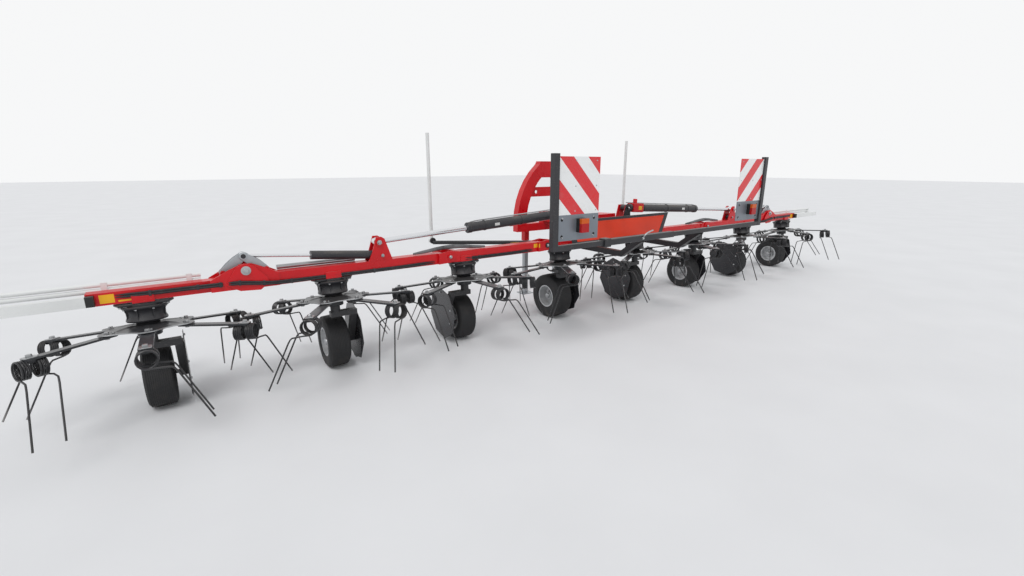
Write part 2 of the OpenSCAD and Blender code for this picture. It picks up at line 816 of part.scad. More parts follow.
placed() centre_frame();
placed() centre_gearboxes();
placed() input_gearbox();
placed() sign_plate();
placed() board_carrier();
placed() warning_boards();
placed() lamp_plates();
placed() headstock();
placed() arch();
placed() stand(-1);  // left_stand
placed() stand(1);  // right_stand
placed() front_guard(-1);  // left_front_guard
placed() front_guard(1);  // right_front_guard
placed() left() inner_section();  // left_inner_section
placed() color(black) gearbox(3);  // left_inner_gearbox
placed() left() middle_section();  // left_middle_section
placed() color(black) gearbox(2);  // left_middle_gearbox
placed() left() outer_section();  // left_outer_section
placed() color(black) gearbox(1);  // left_outer_gearbox
placed() left() end_guard();  // left_end_guard
placed() inner_section();  // right_inner_section
placed() color(black) gearbox(6);  // right_inner_gearbox
placed() middle_section();  // right_middle_section
placed() color(black) gearbox(7);  // right_middle_gearbox
placed() outer_section();  // right_outer_section
placed() color(black) gearbox(8);  // right_outer_gearbox
placed() end_guard();  // right_end_guard
placed() left() main_barrel();  // left_main_barrel
placed() left() main_rod();  // left_main_rod
placed() left() outer_barrel();  // left_outer_barrel
placed() left() outer_rod();  // left_outer_rod
placed() left() beam_link();  // left_beam_link
placed() left() outer_link();  // left_outer_link
placed() main_barrel();  // right_main_barrel
placed() main_rod();  // right_main_rod
placed() outer_barrel();  // right_outer_barrel
placed() outer_rod();  // right_outer_rod
placed() beam_link();  // right_beam_link
placed() outer_link();  // right_outer_link
placed() rotor(1);  // rotor_1
placed() rotor(2);  // rotor_2
placed() rotor(3);  // rotor_3
placed() rotor(4);  // rotor_4
placed() rotor(5);  // rotor_5
placed() rotor(6);  // rotor_6
placed() rotor(7);  // rotor_7
placed() rotor(8);  // rotor_8
placed() wheel(1);  // wheel_1
placed() wheel(2);  // wheel_2
placed() wheel(3);  // wheel_3
placed() wheel(4);  // wheel_4
placed() wheel(5);  // wheel_5
placed() wheel(6);  // wheel_6
placed() wheel(7);  // wheel_7
placed() wheel(8);  // wheel_8
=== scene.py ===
"""Looks of the mounted hay tedder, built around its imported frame. Metres, +Z up, the ground at z = 0."""

import math

import bpy
import numpy as np
from mathutils import Matrix, Vector


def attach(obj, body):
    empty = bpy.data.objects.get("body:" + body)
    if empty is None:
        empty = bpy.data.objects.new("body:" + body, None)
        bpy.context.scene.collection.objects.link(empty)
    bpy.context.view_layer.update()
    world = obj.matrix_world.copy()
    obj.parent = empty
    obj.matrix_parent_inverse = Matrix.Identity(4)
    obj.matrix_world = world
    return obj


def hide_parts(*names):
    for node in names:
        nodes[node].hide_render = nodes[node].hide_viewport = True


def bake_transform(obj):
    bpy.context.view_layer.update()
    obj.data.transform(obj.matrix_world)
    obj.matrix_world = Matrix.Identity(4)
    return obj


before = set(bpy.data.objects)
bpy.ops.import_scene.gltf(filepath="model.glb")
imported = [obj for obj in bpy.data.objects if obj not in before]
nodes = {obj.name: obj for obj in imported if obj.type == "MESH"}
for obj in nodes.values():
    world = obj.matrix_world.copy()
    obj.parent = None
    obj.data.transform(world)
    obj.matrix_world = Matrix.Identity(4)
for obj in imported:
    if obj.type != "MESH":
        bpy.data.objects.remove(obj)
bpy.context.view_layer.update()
scene = bpy.context.scene

# The view: a phone held at eye height behind the left wing, its wide lens tipped down a little
# towards the middle of the machine.
EYE = Vector((-3.7257, -3.672, 1.55))
HEADING = Vector((0.578, 0.816, 0.0))
TIP_DOWN = math.radians(14.4)
FOCAL_PIXELS = 478
FRAME_PIXELS = 1024

view = bpy.data.cameras.new("view")
view.sensor_width = 36.0
view.lens = FOCAL_PIXELS / FRAME_PIXELS * view.sensor_width
view.clip_end = 200.0
camera = bpy.data.objects.new("view", view)
forward = HEADING.normalized() * math.cos(TIP_DOWN) - Vector((0, 0, math.sin(TIP_DOWN)))
camera.matrix_world = Matrix.Translation(EYE) @ forward.to_track_quat("-Z", "Y").to_matrix().to_4x4()
scene.collection.objects.link(camera)
scene.camera = camera
scene.view_settings.view_transform = "Standard"


# Floor and light: a wide pale floor under an even, overcast sky, with one soft window of light
# from high on the left so that edges and rods catch a highlight.
class Field:
    """One output of a material's node tree. Arithmetic on it adds Math nodes to the tree."""

    def __init__(self, tree, socket=None):
        self.tree = tree
        self.socket = socket

    def node(self, kind, settings=None, inputs=None, output=0):
        """Adds a node of a type, sets its settings first, then the values or links of its sockets."""
        made = self.tree.nodes.new(kind)
        for key, value in (settings or {}).items():
            setattr(made, key, value)
        for key, value in (inputs or {}).items():
            if isinstance(value, Field):
                self.tree.links.new(value.socket, made.inputs[key])
            else:
                made.inputs[key].default_value = value
        return Field(self.tree, made.outputs[output])

    def math(self, operation, *values):
        return self.node("ShaderNodeMath", {"operation": operation}, dict(enumerate(values)))

    def size(self):
        return self.math("ABSOLUTE", self)

    def __add__(self, other):
        return self.math("ADD", self, other)

    def __sub__(self, other):
        return self.math("SUBTRACT", self, other)

    def __rsub__(self, other):
        return self.math("SUBTRACT", other, self)

    def __mul__(self, other):
        return self.math("MULTIPLY", self, other)

    def __truediv__(self, other):
        return self.math("DIVIDE", self, other)

    def above(self, edge, width):
        """0 below edge, 1 above edge + width, straight between."""
        return self.node("ShaderNodeMapRange", {"clamp": True},
                         {"Value": self, "From Min": edge, "From Max": edge + width})

    def below(self, edge, width):
        return 1.0 - self.above(edge, width)

    __radd__ = __add__
    __rmul__ = __mul__


def mixed(mask, low, high):
    """Colour low where mask is 0 and high where it is 1."""
    return mask.node("ShaderNodeMix", {"data_type": "RGBA"}, {0: mask, 6: low, 7: high}, 2)


def rgb(red, green, blue):
    return (red, green, blue, 1.0)


def start_material(name):
    """A new material with its Principled shader, and a Field to grow the tree from."""
    made = bpy.data.materials.new(name)
    made.use_nodes = True
    tree = made.node_tree
    return made, tree.nodes["Principled BSDF"], Field(tree)


def feed(grow, shader, socket, value):
    if isinstance(value, Field):
        grow.tree.links.new(value.socket, shader.inputs[socket])
    else:
        shader.inputs[socket].default_value = value


FLOOR_REACH = 60.0
FLOOR_COLOUR = rgb(0.74, 0.74, 0.75)
FLOOR_PALER = rgb(0.78, 0.78, 0.79)
floor_mesh = bpy.data.meshes.new("floor")
corners = ((-1, -1), (1, -1), (1, 1), (-1, 1))
floor_mesh.from_pydata([(x * FLOOR_REACH, y * FLOOR_REACH, 0) for x, y in corners], [], [(0, 1, 2, 3)])
floor = bpy.data.objects.new("floor", floor_mesh)
scene.collection.objects.link(floor)
floor_paint, floor_shader, grow = start_material("floor")
place = grow.node("ShaderNodeTexCoord", output="Object")
grain = grow.node("ShaderNodeTexNoise", inputs={"Vector": place, "Scale": 1.3, "Detail": 6.0})
feed(grow, floor_shader, "Base Color", mixed(grain.above(0.3, 0.5), FLOOR_COLOUR, FLOOR_PALER))
floor_shader.inputs["Roughness"].default_value = 0.9
floor_mesh.materials.append(floor_paint)

SKY_LEVEL = 0.72
SEEN_LEVEL = 1.0
SUN_LEVEL = 1.1
SUN_WIDE = math.radians(25)
scene.world = bpy.data.worlds.new("sky")
scene.world.use_nodes = True
sky = Field(scene.world.node_tree)
plain = sky.node("ShaderNodeBackground", inputs={"Color": rgb(0.96, 0.98, 1.0), "Strength": SKY_LEVEL})
seen = sky.node("ShaderNodeBackground", inputs={"Color": rgb(0.93, 0.935, 0.94), "Strength": SEEN_LEVEL})
looked_at = sky.math("MAXIMUM", sky.node("ShaderNodeLightPath", output="Is Camera Ray"),
                     sky.node("ShaderNodeLightPath", output="Is Glossy Ray"))
either = sky.node("ShaderNodeMixShader", inputs={0: looked_at, 1: plain, 2: seen})
sky.tree.links.new(either.socket, sky.tree.nodes["World Output"].inputs["Surface"])

lamp = bpy.data.lights.new("window", "SUN")
lamp.energy = SUN_LEVEL
lamp.angle = SUN_WIDE
window = bpy.data.objects.new("window", lamp)
window.matrix_world = Vector((0.45, 0.5, -1.0)).to_track_quat("-Z", "Y").to_matrix().to_4x4()
scene.collection.objects.link(window)

# Painted steel: powder coat over welded sections, with a fine orange peel, road dust that gathers
# on what faces up, and duller scuffed patches. A zone is a part of the piece with another finish.
DUST = rgb(0.33, 0.29, 0.25)


def painted(name, colour, roughness=0.32, dust=0.2, shade=0.75, coat=0.1, metallic=0.0, zones=(),
            peel=1.0, gloss=0.35):
    """Paint of one colour: slow patches towards shade times the colour, dust on upward faces.
    Each zone is (mask of the place, colour, roughness, metallic), laid over what comes before it."""
    made, shader, grow = start_material(name)
    place = grow.node("ShaderNodeTexCoord", output="Object")
    normal = grow.node("ShaderNodeTexCoord", output="Normal")
    facing = grow.node("ShaderNodeSeparateXYZ", inputs={0: normal}, output="Z")
    patches = grow.node("ShaderNodeTexNoise", inputs={"Vector": place, "Scale": 3.1, "Detail": 8.0})
    specks = grow.node("ShaderNodeTexNoise", inputs={"Vector": place, "Scale": 95.0, "Detail": 4.0})
    skin = grow.node("ShaderNodeTexNoise", inputs={"Vector": place, "Scale": 420.0, "Detail": 2.0})
    body = mixed(patches.above(0.35, 0.3) * 0.8, rgb(*(shade * c for c in colour[:3])), colour)
    rough = patches * 0.16 + (roughness - 0.08)
    metal = metallic
    for mask, other, other_rough, other_metal in zones:
        mask = mask(Place(grow))
        darker = rgb(*(0.85 * c for c in other[:3]))
        body = mixed(mask, body, mixed(patches.above(0.35, 0.3), darker, other))
        rough = rough + mask * (rough * -1.0 + (patches * 0.1 + (other_rough - 0.05)))
        metal = mask * (metal * -1.0 + other_metal) + metal
    lying = facing.above(0.2, 0.7) * patches.above(0.4, 0.25)
    settled = lying * dust + specks.above(0.6, 0.12) * (dust * 0.5)
    feed(grow, shader, "Base Color", mixed(settled, body, DUST))
    feed(grow, shader, "Roughness", settled * 0.5 + rough)
    feed(grow, shader, "Normal", grow.node("ShaderNodeBump", inputs={
        "Strength": 0.18 * peel, "Distance": 0.001, "Height": skin * 0.5 + specks * 0.5}))
    shader.inputs["Coat Weight"].default_value = coat
    shader.inputs["Coat Roughness"].default_value = 0.2
    shader.inputs["Specular IOR Level"].default_value = gloss
    feed(grow, shader, "Metallic", metal)
    return made


class Place:
    """Where a point of the surface lies, in the frame of the whole machine: x, y, z, its distance
    across from the middle, and how far it faces forwards."""

    def __init__(self, grow):
        at, facing = (grow.node("ShaderNodeTexCoord", output=kind) for kind in ("Object", "Normal"))
        self.x, self.y, self.z = (grow.node("ShaderNodeSeparateXYZ", inputs={0: at}, output=axis)
                                  for axis in "XYZ")
        self.across = self.x.size()
        self.forwards = grow.node("ShaderNodeSeparateXYZ", inputs={0: facing}, output="Y")


def inside(value, low, high, soft=0.0005):
    """1 where low < value < high."""
    return value.above(low, soft) * value.below(high - soft, soft)


def dress(material, *names):
    """Puts one material in every slot of the named CAD nodes."""
    for name in names:
        mesh = nodes[name].data
        mesh.materials.clear()
        mesh.materials.append(material)
        mesh.polygons.foreach_set("material_index", np.zeros(len(mesh.polygons), np.int32))


SIDES = (("left", -1.0), ("right", 1.0))
BEAMS_Y = -0.0545
RED = rgb(0.66, 0.004, 0.010)
BLACK = rgb(0.022, 0.022, 0.025)
STICKER = rgb(0.92, 0.47, 0.012)
STICKERS = ((4.07, 4.14, 0.764, 0.816), (3.95, 4.055, 0.764, 0.775), (0.88, 0.94, 0.785, 0.822))


def red_stickers(at):
    """Blank yellow stickers on the rear faces of the beams, at the same places on both wings. Each
    is (inner edge, outer edge, foot, top)."""
    found = sum(inside(at.across, *row[:2]) * inside(at.z, *row[2:]) for row in STICKERS)
    return at.forwards.below(-0.7, 0.1) * found


def black_arms(at):
    """The arms back to the boards and out to the front guards, black where the beams are red."""
    back = at.y.below(BEAMS_Y - 0.052, 0.001)
    front = at.y.above(BEAMS_Y + 0.058, 0.001) * at.across.above(0.6, 0.001)
    return back + front


stickers = (red_stickers, STICKER, 0.4, 0.0)
red_paint = painted("red_paint", RED, 0.3, 0.12, 0.85, zones=(stickers,))
centre_red = painted("centre_red", RED, 0.3, 0.12, 0.85, zones=((black_arms, BLACK, 0.42, 0.0), stickers))
dress(centre_red, "centre_frame")
dress(red_paint, "headstock", "arch",
      *(f"{side}_{part}_section" for side, _ in SIDES for part in ("inner", "middle", "outer")))
black_paint = painted("black_paint", BLACK, 0.42, 0.3, 1.6)
dress(black_paint, "input_gearbox", "board_carrier",
      *(f"{side}_{part}" for side, _ in SIDES for part in ("main_barrel", "outer_barrel")))
zinc = painted("zinc", rgb(0.45, 0.47, 0.49), 0.38, 0.1, 0.75, 0.0, 0.85)
dress(zinc, *(f"{side}_{part}" for side, _ in SIDES for part in ("stand", "beam_link", "outer_link")))
chrome = painted("chrome", rgb(0.75, 0.76, 0.78), 0.2, 0.03, 0.95, 0.0, 1.0)
dress(chrome, *(f"{side}_{part}_rod" for side, _ in SIDES for part in ("main", "outer")))

# White guards: the thick tube and rails beyond each wing and the upright poles in front, powder
# coated white, with a black rubber collar where the thick tube leaves the beam.
COLLAR = (4.14, 4.20)


def guard_collar(at):
    return inside(at.across, *COLLAR, 0.002) * at.y.below(BEAMS_Y - 0.03, 0.001)


white_paint = painted("white_paint", rgb(0.80, 0.81, 0.80), 0.35, 0.12, 0.92,
                      zones=((guard_collar, rgb(0.02, 0.02, 0.02), 0.5, 0.0),))
dress(white_paint, *(f"{side}_{part}" for side, _ in SIDES for part in ("front_guard", "end_guard")))

# Warning boards: thin steel sheets screwed to their posts, with reflective sheeting: slanting red
# and white bars that mirror one another on the two sides, and a fine honeycomb of cells.
BOARD_EDGE = 1.41
BOARD_SIDE = 0.423
BOARD_LOW = 1.19


def red_bars(at):
    """t = u - v, with u inwards from a board's outer edge and v down from its top, both 0 to 1."""
    u = (at.across * -1.0 + BOARD_EDGE) / BOARD_SIDE
    v = (at.z * -1.0 + (BOARD_LOW + BOARD_SIDE)) / BOARD_SIDE
    t = u - v
    return inside(t, 0.02, 0.35, 0.003) + inside(t, -0.68, -0.35, 0.003) + t.above(0.69, 0.003)


board_sheet, shader, grow = start_material("board_sheet")
place = grow.node("ShaderNodeTexCoord", output="Object")
cells = grow.node("ShaderNodeTexVoronoi", {"feature": "DISTANCE_TO_EDGE"}, {"Vector": place, "Scale": 260.0})
grime = grow.node("ShaderNodeTexNoise", inputs={"Vector": place, "Scale": 9.0, "Detail": 8.0})
sheet = mixed(red_bars(Place(grow)), rgb(0.86, 0.87, 0.87), rgb(0.70, 0.004, 0.012))
soiled = grime.above(0.56, 0.3) * 0.16 + cells.below(0.06, 0.05) * 0.12
feed(grow, shader, "Base Color", mixed(soiled, sheet, rgb(0.4, 0.38, 0.36)))
feed(grow, shader, "Roughness", grime * 0.2 + 0.18)
feed(grow, shader, "Normal", grow.node("ShaderNodeBump", inputs={
    "Strength": 0.1, "Distance": 0.0004, "Height": cells}))
shader.inputs["Coat Weight"].default_value = 0.15
shader.inputs["Coat Roughness"].default_value = 0.15
dress(board_sheet, "warning_boards")

# Lamp plates: galvanised sheet below each board, with a combined lamp on it, amber above red, in a
# black housing. The four round holes near the corners are near-black patches in the sheet's material,
# painted shade for the dark seen through them.
BOARDS_Y = BEAMS_Y - 0.92
LAMP_REACH = 0.064
LENS_DEEP = 0.022
AMBER_LOW = 1.122
PLATE_MIDDLE = (1.1985, 1.0925)
HOLE_REACH = (0.165, 0.062)
HOLE_R = 0.011


def lamp_body(at):
    return at.y.below(BOARDS_Y - 0.0042, 0.0003)


def lamp_lens(at):
    return at.y.below(BOARDS_Y - LAMP_REACH + LENS_DEEP, 0.001)


def lamp_amber(at):
    return lamp_lens(at) * at.z.above(AMBER_LOW, 0.001)


def plate_hole_shade(at):
    """Painted shade of the holes: round, at the same distances from the plate's middle, on the sheet's rear
    face alone.
    """
    du = (at.across - PLATE_MIDDLE[0]).size() - HOLE_REACH[0]
    dv = (at.z - PLATE_MIDDLE[1]).size() - HOLE_REACH[1]
    gap = (du * du + dv * dv).math("SQRT", du * du + dv * dv)
    return gap.below(HOLE_R, 0.001) * at.y.above(BOARDS_Y - 0.0045, 0.0003)


# The first zone paints near-black shade into the plate's holes.
lamp_metal = painted("lamp_metal", rgb(0.36, 0.40, 0.45), 0.4, 0.1, 0.8, 0.0, 0.7, zones=(
    (plate_hole_shade, rgb(0.01, 0.01, 0.01), 0.9, 0.0), (lamp_body, rgb(0.015, 0.015, 0.015), 0.4, 0.0),
    (lamp_lens, rgb(0.42, 0.006, 0.008), 0.12, 0.0), (lamp_amber, rgb(0.62, 0.10, 0.006), 0.12, 0.0)))
dress(lamp_metal, "lamp_plates")

# Sign across the back of the centre frame: black sheet with a plain orange-red panel let into it.
# The photographed panel carries a name, which is left off.
PANEL_Z = (0.84, 1.025)
PANEL_SLOPE = 0.405
PANEL_FOOT = 0.2595


def sign_panel(at):
    """Rear face between two heights, to a half width of PANEL_FOOT + PANEL_SLOPE z."""
    wide = (at.across - at.z * PANEL_SLOPE).below(PANEL_FOOT, 0.001)
    return wide * inside(at.z, *PANEL_Z) * at.forwards.below(-0.7, 0.1)


sign_sheet = painted("sign_sheet", BLACK, 0.38, 0.1, 1.4,
                     zones=((sign_panel, rgb(0.74, 0.040, 0.006), 0.32, 0.0),))
dress(sign_sheet, "sign_plate")

# Gearboxes: black cast housings with their flanges on the beams, black legs, and glossy black
# plates beside the wheels that keep the crop off them.
PITCH = 1.125
HUB_Z = 0.585
TILT = math.radians(7.0)
LEG_SIDE = (1, 1, -1, 1, -1, 1, -1, 1)
LEG_GAP = 0.052
PLATE_OUT = 0.024
LEG_TOP = 0.443
CHEEK_LOW = 0.7442


def rotor_x(i):
    """Middle of rotor i, from 1 on the left to 8, and of the wheel below it."""
    return (i - 4.5) * PITCH


def wheel_size(i):
    """Radius and half width of wheel i, the two centre ones larger."""
    return (0.225, 0.095) if i in (4, 5) else (0.205, 0.0825)


def beam_cheeks(at):
    """The cheeks that hold the castings to the sides of the beams, painted with the beams."""
    return at.z.above(CHEEK_LOW, 0.0005)


def plate_zone(*numbers):
    """The leaf-shaped plates outside these wheels' legs."""
    middles = [rotor_x(i) + LEG_SIDE[i - 1] * (wheel_size(i)[1] + LEG_GAP + PLATE_OUT) for i in numbers]

    def mask(at):
        found = sum(inside(at.x, middle - 0.0035, middle + 0.0035, 0.0003) for middle in middles)
        return found * at.z.below(LEG_TOP, 0.001)
    return mask


HOLDERS = {1: "left_outer", 2: "left_middle", 3: "left_inner", 4: "frame", 5: "frame", 6: "right_inner",
           7: "right_middle", 8: "right_outer"}
for numbers in ((1,), (2,), (3,), (4, 5), (6,), (7,), (8,)):
    holder = HOLDERS[numbers[0]]
    cast = painted(f"cast_black_{numbers[0]}", rgb(0.028, 0.028, 0.03), 0.45, 0.35, 1.5, peel=2.5, zones=(
        (plate_zone(*numbers), rgb(0.020, 0.020, 0.023), 0.26, 0.0), (beam_cheeks, RED, 0.3, 0.0)))
    dress(cast, "centre_gearboxes" if holder == "frame" else holder + "_gearbox")

# Rotors: a pressed, six-lobed disc with bare edges, flat drooping arms bolted to its lobes, and at
# the end of each arm a double spring tine wound from one wire, held by a bright clamp. They stand in
# for the plainer solids of the frame, on the same axes.
ARMS = 6
DISC_BORE = 0.0357
DISC_FLAT = 0.196
DISC_THICK = 0.007
BOLT_RING = 0.225
COIL_RING = 0.572
COIL_R = 0.048
COIL_Z = -0.094
COIL_IN, COIL_OUT = 0.014, 0.065
COIL_TURNS = 4.5
WIRE = 0.005
# Knee and tip of a tine: out from the coil's end, trailing, and below the disc
TINE_KNEE = (0.008, 0.112, -0.150)
TINE_TIP = (0.082, 0.252, -0.450)
ARM_START, ARM_WIDE, ARM_THICK, ARM_DROOP = 0.180, 0.068, 0.012, math.radians(4.2)


def grid_faces(rows, sides, ring=False):
    """Quads between neighbours in a grid of rows x sides points that closes round its sides. A ring
    closes its rows too; else each end gets a flat lid."""
    ids = np.arange(rows * sides).reshape(rows, sides)
    low = ids if ring else ids[:-1]
    high = np.roll(ids, -1, 0)[:len(low)]
    quads = np.stack((low, np.roll(low, -1, 1), np.roll(high, -1, 1), high), -1).reshape(-1, 4).tolist()
    return quads if ring else quads + [ids[0, ::-1].tolist(), ids[-1].tolist()]


def turned(profile, start=(0, 0, 0), axis=(0, 0, 1), sides=32, ring=False):
    """Solid of revolution: point(k, j) = start + along_k a + radius_k (cos t_j e + sin t_j f), with
    t_j = 2 pi j / sides, a the axis and e, f square to it. profile holds (radius_k, along_k)."""
    a = np.array(Vector(axis).normalized())
    e = np.array(Vector(axis).orthogonal().normalized())
    t = np.arange(sides) * math.tau / sides
    spoke = np.cos(t)[:, None] * e + np.sin(t)[:, None] * np.cross(a, e)
    radius, along = np.array(profile, float).T
    points = np.array(start) + along[:, None, None] * a + radius[:, None, None] * spoke
    return points.reshape(-1, 3), grid_faces(len(radius), sides, ring)


def wire(path, radius, sides=8, up=None):
    """Wire or band: point(k, j) = path_k + r_k cos t_j e_k + q_k sin t_j f_k, f_k = h_k x e_k, where h_k
    heads along the path and e_k is up, or else the last e, made square to h_k. radius is one number,
    or a row (r_k, q_k) for each point."""
    path = np.array(path, float)
    heading = np.gradient(path, axis=0)
    heading /= np.linalg.norm(heading, axis=1)[:, None]
    e = np.array(Vector(heading[0]).orthogonal())
    spokes = []
    for h in heading:
        e = np.array(up or e, float)
        e = e - h * (e @ h)
        e /= np.linalg.norm(e)
        spokes.append((e, np.cross(h, e)))
    t = np.arange(sides) * math.tau / sides
    turns = np.stack((np.cos(t), np.sin(t)), -1)
    radii = np.broadcast_to(np.array(radius, float), (len(path), 2))
    points = path[:, None] + np.einsum("js,ks,ksx->kjx", turns, radii, np.array(spokes))
    return points.reshape(-1, 3), grid_faces(len(path), sides)


def slab(outline, low, high, edge=0.0015):
    """Plate: the outline in XY, from low to high in Z, its rims drawn in by edge."""
    outline = np.array(outline, float)
    x, y = outline.T
    if (x * np.roll(y, -1) - y * np.roll(x, -1)).sum() < 0:
        outline = outline[::-1]
    side = np.roll(outline, -1, 0) - outline
    side /= np.linalg.norm(side, axis=1)[:, None]
    normal = np.stack((side[:, 1], -side[:, 0]), -1)
    before = np.roll(normal, 1, 0)
    drawn = outline - edge * (normal + before) / (1 + (normal * before).sum(1))[:, None]
    rows = [np.c_[ring, np.full(len(outline), z)] for ring, z in
            ((drawn, low), (outline, low + edge), (outline, high - edge), (drawn, high))]
    return np.concatenate(rows), grid_faces(4, len(outline))


def box(low, high, edge=0.0015):
    """Block between two corners, with small chamfers round its top and bottom."""
    (x0, y0, z0), (x1, y1, z1) = low, high
    return slab([(x0, y0), (x1, y0), (x1, y1), (x0, y1)], z0, z1, edge)


def bolt(place, axis=(0, 0, 1), size=0.012):
    """Hexagon head on its washer, standing on place and rising along axis."""
    washer = [(size * 1.15, 0), (size * 1.15, size * 0.22), (size * 1.05, size * 0.26)]
    head = [(size, size * 0.2), (size, size * 0.85), (size * 0.86, size)]
    return [turned(washer, place, axis, 20), turned(head, place, axis, 6)]


def moved(solid, matrix):
    """The solid after a 4 x 4 matrix. Where it mirrors, the faces turn round and so still face out."""
    matrix = np.array(matrix)
    faces = solid[1] if np.linalg.det(matrix[:3, :3]) > 0 else [face[::-1] for face in solid[1]]
    return solid[0] @ matrix[:3, :3].T + matrix[:3, 3], faces


def make(name, body, layers, smooth=32):
    """One object of closed solids that rides on a body, if it names one. layers is a list of
    (material, solids)."""
    points, faces, slots, count = [], [], [], 0
    for slot, (_, solids) in enumerate(layers):
        for at, rings in solids:
            points.append(at)
            faces += [[count + k for k in ring] for ring in rings]
            slots += [slot] * len(rings)
            count += len(at)
    mesh = bpy.data.meshes.new(name)
    mesh.from_pydata(np.concatenate(points).tolist(), [], faces)
    for material, _ in layers:
        mesh.materials.append(material)
    mesh.polygons.foreach_set("material_index", np.array(slots, np.int32))
    mesh.shade_smooth()
    mesh.set_sharp_from_angle(angle=math.radians(smooth))
    made = bpy.data.objects.new(name, mesh)
    scene.collection.objects.link(made)
    if body:
        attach(made, body)
    return made


def lobed_disc(phase, sides=120):
    """Disc, all rings closed: point(k, j) = (rho cos t, rho sin t, z). rho runs from the bore to
    R(t) = 0.212 + 0.056 ((1 + cos 6(t - phase)) / 2)^1.4. z dips from hub to rim, plus a bead of
    0.006 exp(-(s / 0.013)^2) along each arm, s the distance from its middle line. Also gives which
    of the faces are the cut edge."""
    t = np.arange(sides) * math.tau / sides
    rim = 0.212 + 0.056 * (0.5 + 0.5 * np.cos(ARMS * (t - phase))) ** 1.4
    steps = np.array([0.0, 0.02, 0.2, 0.36, 0.5, 0.64, 0.78, 0.9, 1.0])
    inner = DISC_BORE + steps * (DISC_FLAT - DISC_BORE)
    fixed = np.repeat(inner[:, None], sides, 1)
    outer = [DISC_FLAT + f * (rim - DISC_FLAT) for f in (0.3, 0.62, 0.9, 0.985, 1.0)]
    rho = np.concatenate((fixed, outer))
    away = np.arcsin(np.sin((t - phase) * ARMS / 2)) / (ARMS / 2)
    reach = np.interp(rho, (0.07, 0.09, 0.16, 0.19), (0, 1, 1, 0))
    bead = 0.006 * np.exp(-(rho * np.sin(away) / 0.013) ** 2) * reach
    dip = np.interp(rho, (0.064, 0.12, 0.185, 0.2), (0.013, 0.010, 0.0, -0.001)) + bead
    under = dip - DISC_THICK
    dip[-1] -= 0.001
    under[-1] += 0.001
    rho = np.concatenate((rho, rho[::-1]))
    z = np.concatenate((under, dip[::-1]))
    points = np.stack((rho * np.cos(t), rho * np.sin(t), z), -1)
    edge = len(outer) + len(inner) - 2
    cut = slice(edge * sides, (edge + 3) * sides)
    return points.reshape(-1, 3), grid_faces(len(rho), sides, True), cut


def spring_tine(hand):
    """Path of one double tine in its arm's frame: from the outer tip up to its coil, COIL_TURNS turns
    (x, -R sin t, Z - R cos t) with x from COIL_OUT to COIL_IN, back out by the same coil mirrored
    about the clamp, and down to the inner tip beside the outer one. The tips trail by hand, 1 or -1."""
    turn = np.linspace(0, COIL_TURNS * math.tau, int(COIL_TURNS * 18) + 1)
    x = np.interp(turn, (0, turn[-1]), (COIL_OUT - WIRE, COIL_IN))
    coil = np.stack((x, -COIL_R * np.sin(turn), COIL_Z - COIL_R * np.cos(turn)), -1)
    low = COIL_Z - COIL_R
    bend = [(COIL_OUT + TINE_TIP[0], TINE_TIP[1], TINE_TIP[2]),
            (COIL_OUT + TINE_KNEE[0] * 1.6, TINE_KNEE[1] + 0.012, TINE_KNEE[2] - 0.028),
            (COIL_OUT + TINE_KNEE[0], TINE_KNEE[1], TINE_KNEE[2] - 0.008),
            (COIL_OUT + TINE_KNEE[0] * 0.5, TINE_KNEE[1] - 0.012, TINE_KNEE[2] + 0.002),
            (COIL_OUT - WIRE, 0.035, low - 0.0005)]
    outer = np.concatenate((bend, coil))
    inner = outer.copy()
    inner[:, 0] = np.where(np.arange(len(outer)) < len(bend), outer[:, 0] - 2 * COIL_OUT, -outer[:, 0])
    path = np.concatenate((outer, inner[::-1]))
    return path * (1, hand, 1) + (COIL_RING, 0, 0)


def at_rotor(i):
    """From a rotor's own frame, its axis upright, to its tilted place under the beam."""
    return Matrix.Translation((rotor_x(i), BEAMS_Y, HUB_Z)) @ Matrix.Rotation(-TILT, 4, "X")


def tip_wear(at):
    """The ends of the tines, worn bright by the ground."""
    return at.z.below(0.11, 0.09)


rotor_black = painted("rotor_black", rgb(0.020, 0.021, 0.024), 0.34, 0.1, 1.6)
bare_steel = painted("bare_steel", rgb(0.50, 0.51, 0.52), 0.34, 0.12, 0.7, 0.0, 0.9, peel=2.0)
spring_steel = painted("spring_steel", rgb(0.022, 0.022, 0.024), 0.36, 0.1, 1.5, 0.1, 0.2, zones=(
    (tip_wear, rgb(0.34, 0.33, 0.33), 0.4, 0.8),))
HUB = [(DISC_BORE, -0.062), (0.057, -0.062), (0.064, -0.056), (0.064, -0.014), (0.074, -0.008),
       (0.074, 0.010), (0.066, 0.016), (0.062, 0.024), (0.056, 0.028), (DISC_BORE, 0.028)]
CLAMP_BACK = 0.030


def cut_corners(x0, x1, half, cut0, cut1):
    """Outline of a plate along x, its corners cut off by cut0 at x0 and by cut1 at x1."""
    return [(x0, -half + cut0), (x0 + cut0, -half), (x1 - cut1, -half), (x1, -half + cut1),
            (x1, half - cut1), (x1 - cut1, half), (x0 + cut0, half), (x0, half - cut0)]


